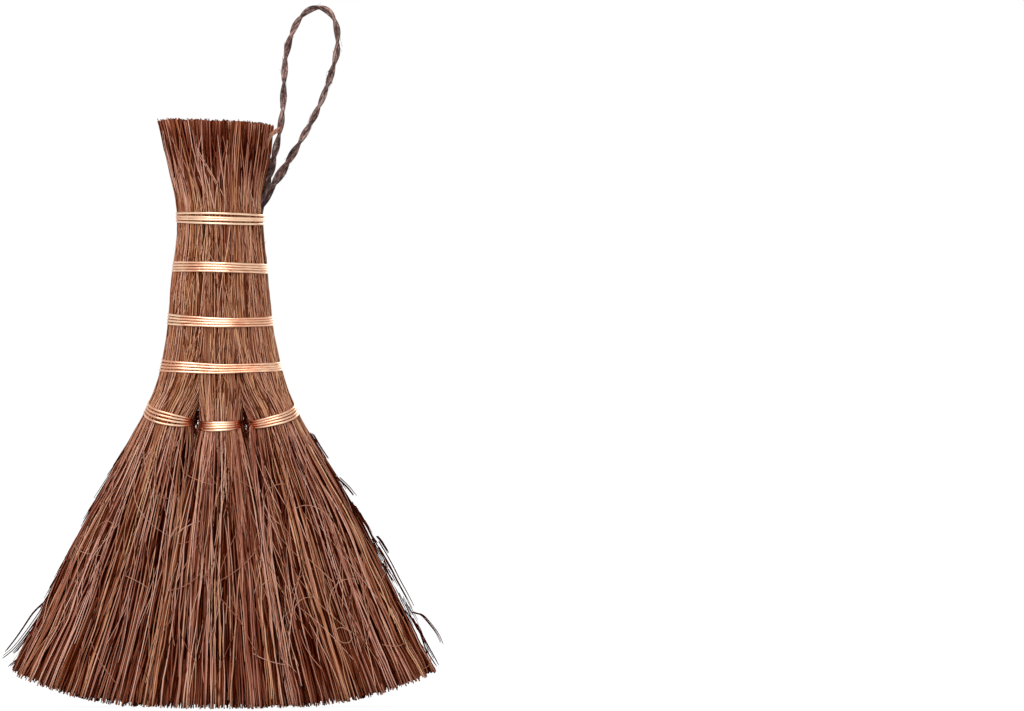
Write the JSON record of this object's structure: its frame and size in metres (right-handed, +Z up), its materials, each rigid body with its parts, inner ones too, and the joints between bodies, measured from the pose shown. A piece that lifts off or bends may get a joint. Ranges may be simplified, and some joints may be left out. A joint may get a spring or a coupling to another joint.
{
  "type": "hand broom",
  "caption": "Short hand broom of palm fibre: bundles bound side by side with copper wire into a grip, spreading into a fanned sweep, with a cord loop to hang it by.",
  "frame": {"origin": "on the standing surface, under the middle of the sweep", "axes": "+Z up from the tips to the cut top of the grip, -Y the front, +X to the right edge where the loop is"},
  "size_m": [0.1244, 0.025, 0.2113],
  "materials": {
    "palm_fibre": "raw dry palm fibre, brown, slightly glossy strands",
    "copper_wire": "bright drawn copper",
    "palm_cord": "twisted two-ply palm cord, dull purplish brown"
  },
  "bodies": {
    "broom": {"left_bundle": "palm_fibre", "centre_bundle": "palm_fibre", "right_bundle": "palm_fibre", "first_grip_binding": "copper_wire", "second_grip_binding": "copper_wire", "third_grip_binding": "copper_wire", "fourth_grip_binding": "copper_wire", "left_neck_binding": "copper_wire", "centre_neck_binding": "copper_wire", "right_neck_binding": "copper_wire", "front_loop_tail": "palm_cord", "rear_loop_tail": "palm_cord"},
    "loop": {"hanging_loop": "palm_cord"}
  },
  "joints": [
    {"name": "loop_swing", "type": "hinge", "parent": "broom", "child": "loop", "pos_m": [0.014, 0, 0.1556], "axis": [0, 1, 0], "range_deg": [-5, 90], "stiffness_Nm_per_rad": 0.004}
  ]
}
